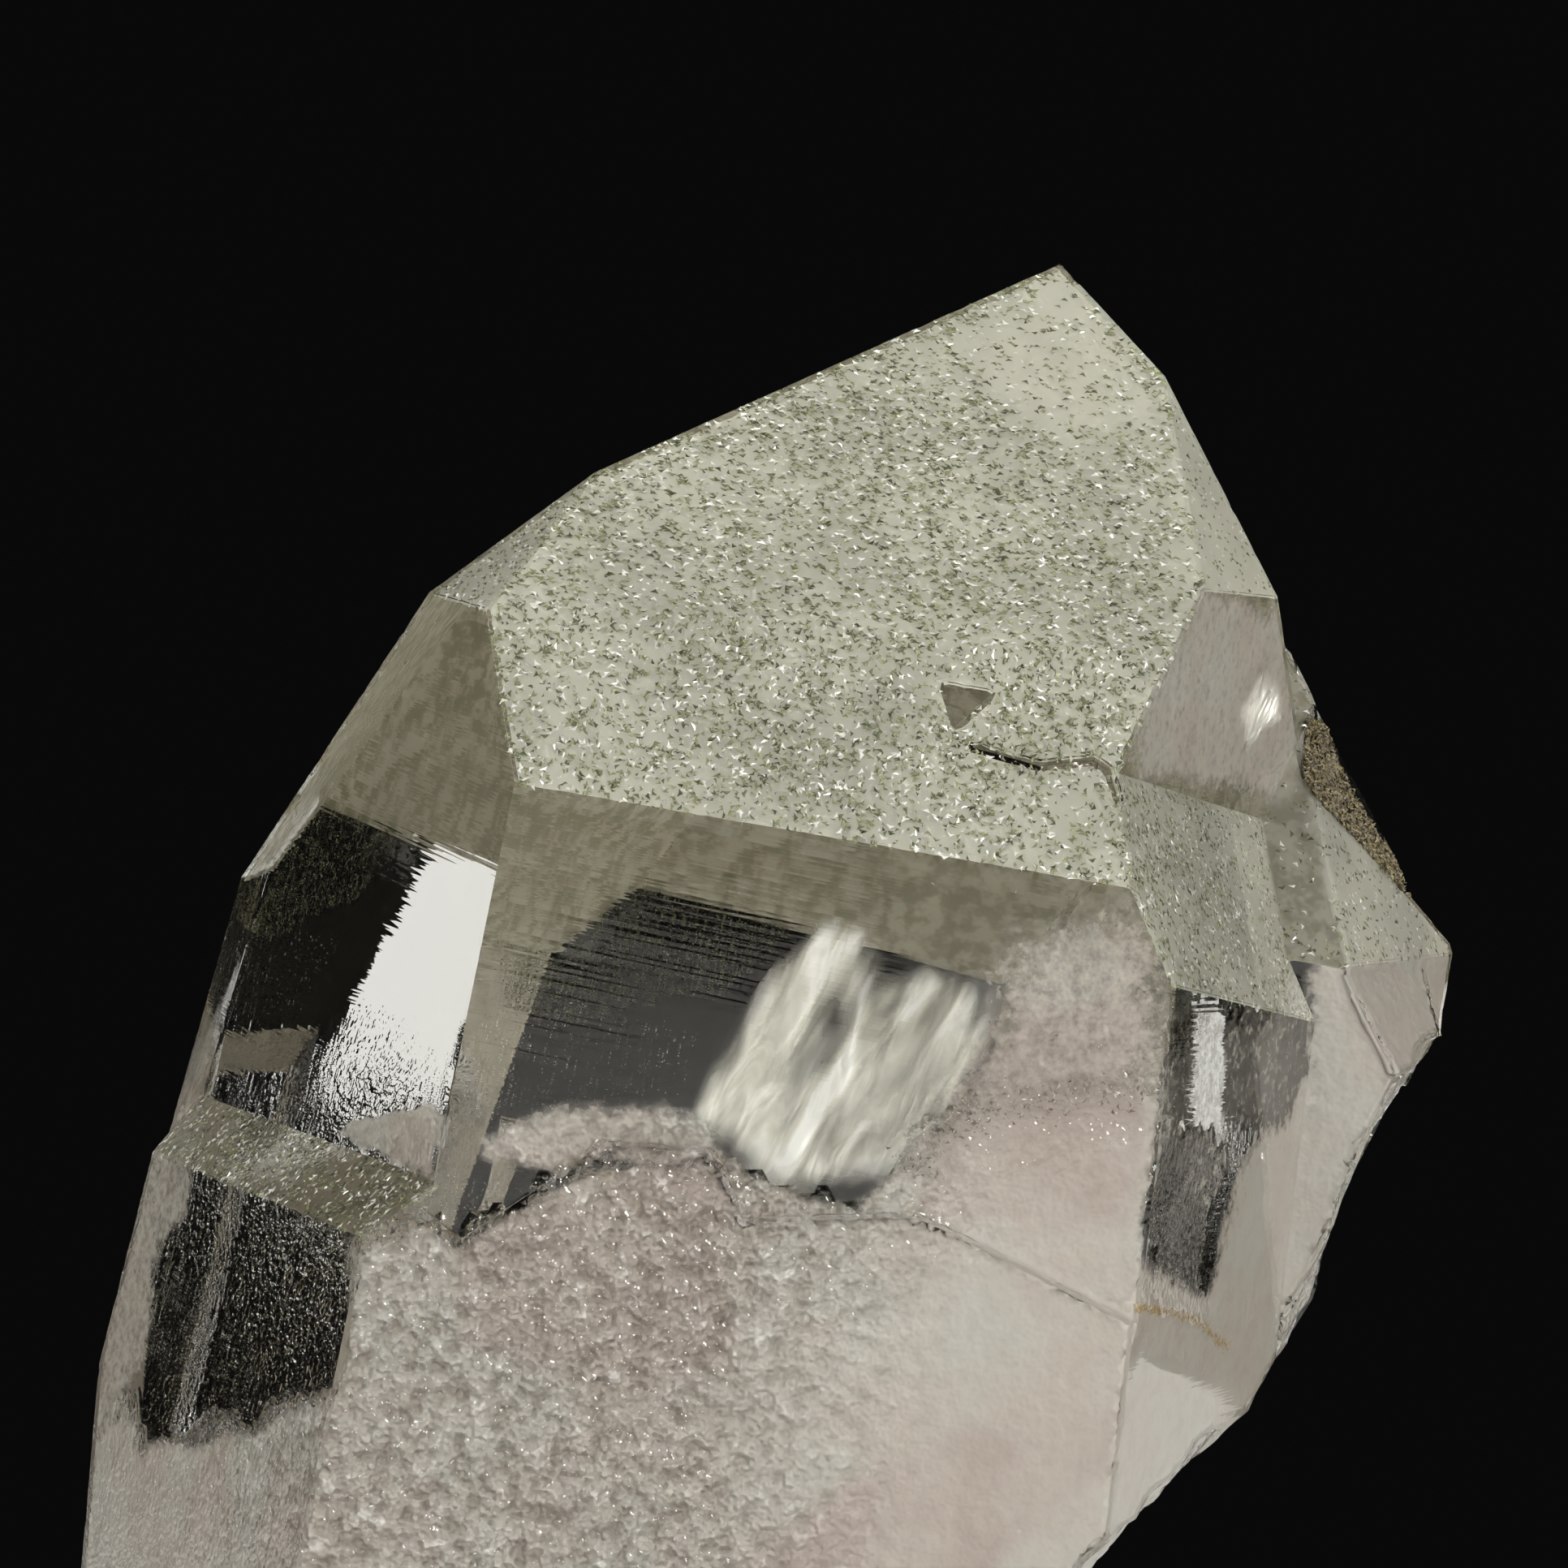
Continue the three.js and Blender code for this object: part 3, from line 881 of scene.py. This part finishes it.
def pixels_within(outline, count):
    outline = np.asarray(outline, float)
    low, high = outline.min(0), outline.max(0)
    found = np.zeros((0, 2))
    while len(found) < count:
        tried = random_numbers.uniform(low, high, (count, 2))
        found = np.vstack([found, tried[within_outline(outline, tried)]])
    return found[:count]


def grains_along(name, faces, path, count, spread, half_lengths, material):
    """Grains just under the surface, scattered about a path in the photograph."""
    path = np.array(path, float)
    share = random_numbers.uniform(0, len(path) - 1.001, count)
    first = share.astype(int)
    middle = path[first] + (share - first)[:, None] * (path[first + 1] - path[first])
    places, normals = seen_points(faces, middle + random_numbers.normal(0, spread, (count, 2)))
    count = len(places)
    sunk = places - normals * random_numbers.uniform(*GRAIN_DEPTHS, (count, 1)) * MM
    flakes(name, sunk, normals, random_numbers.uniform(*half_lengths, count) * MM,
           random_numbers.uniform(0, math.pi, count), 0.6, material)


def seam_and_stain(faces):
    places, normals = seen_points(faces, pixels_within(SEAM_OUTLINE, SEAM_FLAKES))
    count = len(places)
    sunk = places - normals * random_numbers.uniform(*SEAM_DEPTHS, (count, 1)) * MM
    flakes("chlorite_seam", sunk, normals, random_numbers.uniform(*SEAM_HALF_LENGTHS, count) * MM,
           random_numbers.uniform(0, math.pi, count), 0.9,
           grain_material("dark_chlorite", (0.028, 0.018, 0.008, 1), (0.12, 0.095, 0.035, 1)))
    grains_along("iron_stain", faces, STAIN_PATH, STAIN_FLAKES, 3, (0.03, 0.07),
                 grain_material("iron_ochre", (0.30, 0.19, 0.05, 1), (0.52, 0.36, 0.13, 1)))
    # Painted shade: dark grains along PIT_PATH stand in for the shadow inside small pits
    grains_along("painted_pit_shade", faces, PIT_PATH, PAINTED_PIT_SHADE_GRAINS, 13, (0.04, 0.11),
                 grain_material("pit_shadow", (0.08, 0.06, 0.045, 1), (0.42, 0.37, 0.31, 1)))


# Grains on the back, as the windows show them: outline, count, half lengths in millimetres. The pale grains
# of LEFT_GLINTS are painted glints.
LOWER_WINDOW = [(205, 1400), (300, 1450), (445, 1530), (430, 1600), (330, 1700), (175, 1760)]
WINDOW_SPECKS = ([(560, 1262), (700, 1230), (862, 1270), (850, 1345), (560, 1378)], 330, (0.02, 0.05))
TRIANGLE_SPECKS = ([(535, 1440), (660, 1455), (575, 1520), (530, 1500)], 60, (0.02, 0.05))
WINDOW_OLIVE = ([(610, 1235), (800, 1080), (985, 1140), (900, 1220), (800, 1235), (700, 1260)], 2600,
                (0.04, 0.08))
LEFT_GRAINS = (LOWER_WINDOW, 2600, (0.03, 0.08))
# Painted glints: pale grains that stand in for sparkle in the lower window
LEFT_GLINTS = (LOWER_WINDOW, 900, (0.03, 0.08))


def window_grains(faces):
    pale = grain_material("pale_grains_and_painted_glints", (0.55, 0.54, 0.48, 1), (0.90, 0.89, 0.84, 1))
    olive = grain_material("olive_grains", (0.05, 0.05, 0.025, 1), (0.24, 0.23, 0.13, 1))
    pieces = (("window_specks", (WINDOW_SPECKS, TRIANGLE_SPECKS, LEFT_GLINTS), pale),
              ("window_olive", (WINDOW_OLIVE, LEFT_GRAINS), olive))
    for name, zones, material in pieces:
        places, normals, sizes = [], [], []
        for outline, count, half_lengths in zones:
            far, looks = behind(pixels_within(outline, count), faces)
            places.append(far)
            normals.append(looks)
            sizes.append(random_numbers.uniform(*half_lengths, len(far)) * MM)
        places, normals, sizes = np.vstack(places), np.vstack(normals), np.hstack(sizes)
        places -= normals * random_numbers.uniform(*WINDOW_GRAIN_DEPTHS, (len(places), 1)) * MM
        flakes(name, places, normals, sizes, random_numbers.uniform(0, math.pi, len(places)), 0.8, material)


def grain_material(name, dark, light):
    n = Nodes(name)
    colors = n.colors(n.attribute("shade"), (0.0, dark), (1.0, light))
    return n.made(n.principled(colors, 0.6))


# Milky quartz: low in the crystal it is clouded right up to its faces. Each part of it has a strength, the
# width of its soft edge in pixels, and its outline in the photograph
MILKY_FRONT = {
    "foot": (1.0, 46, [(-200, 2700), (20, 1900), (90, 1790), (150, 1740), (180, 1800), (330, 1745),
                       (425, 1700), (432, 1545), (525, 1520), (575, 1545), (745, 1428), (905, 1440),
                       (1060, 1500), (1130, 1400), (1260, 1340), (1425, 1345), (1420, 1560), (1490, 1600),
                       (1530, 1440), (1610, 1330), (1625, 1180), (1810, 1150), (1950, 2700)]),
    "left_rim": (0.62, 24, [(190, 1380), (235, 1345), (250, 1380), (190, 1560), (160, 1700), (135, 1760),
                            (80, 1800)]),
    "lens": (0.85, 16, [(400, 1396), (470, 1372), (552, 1368), (530, 1450), (470, 1425)]),
    "ledge_window": (0.4, 90, [(1450, 1230), (1640, 1220), (1620, 1400), (1500, 1500), (1430, 1600)]),
    "band": (0.72, 30, [(585, 1396), (700, 1362), (850, 1366), (915, 1440), (740, 1418), (676, 1446),
                        (590, 1426)]),
    "side_top": (0.75, 60, [(1380, 800), (1440, 700), (1600, 760), (1640, 900), (1600, 990), (1400, 960)]),
    "haze": (0.64, 130, [(1120, 1400), (1190, 1280), (1250, 1150), (1430, 1090), (1470, 1400),
                         (1200, 1420)]),
}
MILKY_DEPTH = 0.22
MILKY_TOP = -10.0
MILKY_BOTTOM = -15.0
MILK_TINT = (0.49, 0.478, 0.42, 1)
PINK_TINT = (0.40, 0.335, 0.29, 1)
CLOUD_TINT = (0.47, 0.42, 0.36, 1)
# Painted shade and painted highlight: the dark tint goes in the hollows of the crumpled relief, the pale one
# on its tops
PAINTED_HOLLOW_SHADE_TINT = (0.20, 0.16, 0.12, 1)
PAINTED_HIGHLIGHT_TINT = (0.86, 0.83, 0.77, 1)
# The back is clear where the photograph looks out through it
WINDOWS = [[(240, 1160), (310, 1080), (440, 1030), (590, 1060), (590, 1120), (545, 1372), (400, 1378),
            (235, 1335)],
           [(205, 1400), (300, 1450), (445, 1530), (435, 1690), (330, 1735), (180, 1800), (150, 1740)],
           [(600, 1230), (802, 1077), (1010, 1150), (860, 1345), (700, 1345), (555, 1378)],
           [(525, 1430), (680, 1450), (573, 1528), (520, 1500)],
           [(1440, 1220), (1640, 1220), (1600, 1330), (1500, 1450), (1480, 1600), (1425, 1600)]]
WINDOW_STEP = 14
WINDOW_REACH = 1.0
WINDOW_COMPANY = 8
# Darker, pinkish parts of it, and the hammered part, whose crumpled relief also gets painted shade in its
# hollows and painted highlights on its tops
PINKISH = [[(560, 1420), (742, 1395), (905, 1420), (912, 1680), (780, 1730), (560, 1640)],
           [(820, 2700), (900, 1950), (950, 1880), (1040, 1830), (1105, 1800), (1180, 1755), (1400, 1735),
            (1365, 1810), (1250, 1900), (1190, 1990), (1190, 2700)],
           [(1180, 1240), (1430, 1230), (1400, 1520), (1130, 1500)]]
PINK_EDGE = 40
HAMMERED_EDGE = 330
HAMMERED = [(300, 1600), (535, 1440), (742, 1340), (1010, 1340), (1120, 1480), (1010, 1680), (930, 2700),
            (300, 2700)]


def share_within(outline, pixels, edge):
    """1 inside an outline in the photograph and 0 outside, with a soft edge of the given width in pixels."""
    outline = np.asarray(outline, float)
    following = np.roll(outline, -1, axis=0)
    gap = distance_to_segments(pixels, outline, following)
    gap = np.where(within(outline, following, pixels), gap, -gap)
    return smooth_step(-edge / 2, edge / 2, gap)


def milk_of(place, pixels, normals, clear_gap):
    """How clouded, pinkish and hammered the quartz is under each point of the surface, from 0 to 1."""
    shown = looks_at_camera(normals)
    wander = noise_at(place, 2.2, 30)[:, None] * (16, 16)
    moved = pixels + wander + noise_at(place, 0.7, 32)[:, None] * (8, -8)
    front = np.max([strength * share_within(outline, moved, edge)
                    for strength, edge, outline in MILKY_FRONT.values()], axis=0)
    height = place[:, 2] + 1.5 * noise_at(place, 4.0, 31)
    hidden = smooth_step(MILKY_TOP, MILKY_BOTTOM, height) * smooth_step(0.2, 4.0, clear_gap)
    milk = np.where(shown, front, hidden)
    pink = np.max([share_within(outline, moved, PINK_EDGE) for outline in PINKISH], axis=0)
    pink = np.where(shown, pink, 0.5 + 0.5 * noise_at(place, 8.0, 33))
    hammered = share_within(HAMMERED, moved, HAMMERED_EDGE) * shown
    return milk, pink, hammered


def tree_of(places):
    tree = KDTree(len(places))
    for index, place in enumerate(places):
        tree.insert(Vector(place), index)
    tree.balance()
    return tree


def gap_to_windows(surface):
    """How far each point of the surface is from what a clear window shows of the back, over WINDOW_REACH."""
    shown = []
    for outline in WINDOWS:
        low, high = np.min(outline, axis=0), np.max(outline, axis=0)
        across, down = np.meshgrid(*(np.arange(low[i], high[i], WINDOW_STEP) for i in range(2)))
        pixels = np.stack([across.ravel(), down.ravel()], 1).astype(float)
        shown.append(behind(pixels[within_outline(outline, pixels)], surface.faces)[0])
    shown = np.vstack(shown)
    seen = tree_of(shown)
    reach = WINDOW_REACH * MM
    # A line of sight that lands far from the others says nothing of the window
    crowded = [place for place in shown if len(seen.find_range(Vector(place), reach)) >= WINDOW_COMPANY]
    clear = tree_of(crowded)
    return np.array([clear.find(Vector(point))[2] for point in surface.points]) / reach


def milky_material():
    n = Nodes("milky_quartz")
    place = n.place()
    milk = n.attribute("milk")
    hammered = n.attribute("hammered")
    grain = n.noise(place, 3600.0, 2.0, {"Roughness": 0.65})
    cloud = n.noise(place, 330.0, 3.0, {"Roughness": 0.6})
    crumple = n.noise(place, 1900.0, 2.0, {"Roughness": 0.62})
    tint = n.blend(n.attribute("pink"), MILK_TINT, PINK_TINT)
    clouded = n.blend(n.ramp(cloud, 0.28, 0.72), CLOUD_TINT, tint)
    # Painted shade: the hollows of the crumpled relief are darkened, most in the hammered part
    painted_hollow_shade = n.math("MULTIPLY", n.ramp(crumple, 0.54, 0.36), n.math("MULTIPLY_ADD", hammered, 0.62, 0.1))
    with_painted_shade = n.blend(painted_hollow_shade, clouded, PAINTED_HOLLOW_SHADE_TINT)
    # Painted highlights: the tops of the crumpled relief are lightened in the hammered part
    painted_highlight = n.math("MULTIPLY", n.ramp(crumple, 0.60, 0.74), hammered)
    with_painted_highlights = n.blend(painted_highlight, with_painted_shade, PAINTED_HIGHLIGHT_TINT)
    height = n.math("MULTIPLY", crumple, n.math("MULTIPLY_ADD", hammered, 0.85, 0.15))
    front = n.principled(with_painted_highlights, 0.3, {"Normal": n.bump(height, 0.8)})
    solid = n.math("MULTIPLY_ADD", grain, 0.9, n.math("MULTIPLY_ADD", milk, 1.1, -0.6))
    return n.made(n.sheet(front, clouded, 0.28, n.ramp(solid, 0.05, 0.75)))


def milky_quartz(surface, grown):
    """A clouded sheet just under the grown surface, which thins out towards the clear quartz."""
    place = to_crystal(surface.points)
    values = milk_of(place, to_pixels(surface.points), surface.normals, gap_to_windows(surface))
    clouded = (values[0][surface.triangles] > 0.01).any(1)
    points, triangles, used = sheet_under(surface, grown, clouded, MILKY_DEPTH)
    piece = make_object("milky_quartz", points, triangles)
    piece.data.shade_smooth()
    for name, value in zip(("milk", "pink", "hammered"), values):
        add_values(piece, name, value[used])
    piece.data.materials.append(milky_material())
    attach(piece, "root")


# Floor, lights and camera
FLOOR_X = (-260, 260)
FLOOR_Y = (-320, 18.4)
FLOOR_DROP = 0.03
FLOOR_TINT = (0.42, 0.41, 0.385, 1)
# Each light's name, place, aim, size, all in millimetres, its watts, and its roll in degrees
LIGHTS = (
    ("key", (-160, -175, 205), (0, 0, 20), (160, 160), 1.4, 0),
    ("fill", (180, -175, 115), (0, 0, 15), (140, 140), 1.45, 0),
    ("rear_top", (103, 147, 190), (0, 0, 20), (110, 110), 0.7, 0),
    ("rear_left", (-190, 60, 130), (0, 0, 20), (110, 110), 0.2, 0),
    ("rear_card", (39.5, 58.2, 0.5), (0, 9, 15), (8, 17), 0.0004, 22),
    ("rear_slit", (-40.3, 58.2, 14), (0, 14, 20), (1.8, 9), 0.00004, 0),
)
WORLD_COLOR = (0.0028, 0.0028, 0.0028, 1)


def floor():
    low_x, high_x = FLOOR_X
    low_y, high_y = FLOOR_Y
    outline = ((low_x, low_y), (high_x, low_y), (high_x, high_y), (low_x, high_y))
    corners = [(x * MM, y * MM, -FLOOR_DROP * MM) for x, y in outline]
    piece = make_object("floor", corners, [(0, 1, 2), (0, 2, 3)])
    n = Nodes("floor")
    bump = n.bump(n.noise(n.place(), 900.0, 4.0), 0.02, {"Strength": 0.4})
    piece.data.materials.append(n.made(n.principled(FLOOR_TINT, 0.7, {"Normal": bump})))


def soft_light(name, place, aim, size, watts, roll):
    """A flat soft light with its middle at one place, in millimetres, that looks at another."""
    light = bpy.data.lights.new(name, "AREA")
    light.shape = "RECTANGLE"
    light.size, light.size_y = size[0] * MM, size[1] * MM
    light.energy = watts
    lamp = bpy.data.objects.new(name, light)
    bpy.context.scene.collection.objects.link(lamp)
    way = Vector(place) - Vector(aim)
    lamp.location = Vector(place) * MM
    lamp.rotation_mode = "QUATERNION"
    lamp.rotation_quaternion = way.to_track_quat("Z", "Y") @ Quaternion((0, 0, 1), math.radians(roll))
    lamp.visible_camera = False


def studio():
    for light in LIGHTS:
        soft_light(*light)
    world = bpy.data.worlds.new("studio")
    world.use_nodes = True
    world.node_tree.nodes["Background"].inputs["Color"].default_value = WORLD_COLOR
    bpy.context.scene.world = world


def camera():
    lens = bpy.data.cameras.new("camera")
    lens.sensor_width = SENSOR_WIDTH
    lens.lens = SENSOR_WIDTH * PHOTO_FOCAL / PHOTO_SIDE
    lens.clip_start = 1 * MM
    place = bpy.data.objects.new("camera", lens)
    bpy.context.scene.collection.objects.link(place)
    place.location = CAMERA_PLACE
    place.rotation_euler = (math.pi / 2 - CAMERA_DIP, 0, 0)
    bpy.context.scene.camera = place


def picture():
    scene = bpy.context.scene
    scene.view_settings.view_transform = "Standard"
    scene.cycles.max_bounces = 9
    scene.cycles.transmission_bounces = 9
    scene.cycles.glossy_bounces = 4
    scene.cycles.diffuse_bounces = 2
    scene.cycles.transparent_max_bounces = 8
    scene.cycles.sample_clamp_indirect = 9
    scene.cycles.use_light_tree = False
    scene.cycles.adaptive_threshold = 0.07
    scene.cycles.adaptive_min_samples = 8
    scene.cycles.use_denoising = True


def main():
    camera()
    faces = FlatFaces(CAD_NODE)
    surface = FineSurface(faces)
    grown = crystal_surface(surface)
    inner_cracks(faces)
    chlorite_flakes_with_painted_glints(faces)
    pale_dust(surface, grown)
    seam_and_stain(faces)
    window_grains(faces)
    milky_quartz(surface, grown)
    floor()
    studio()
    picture()


main()
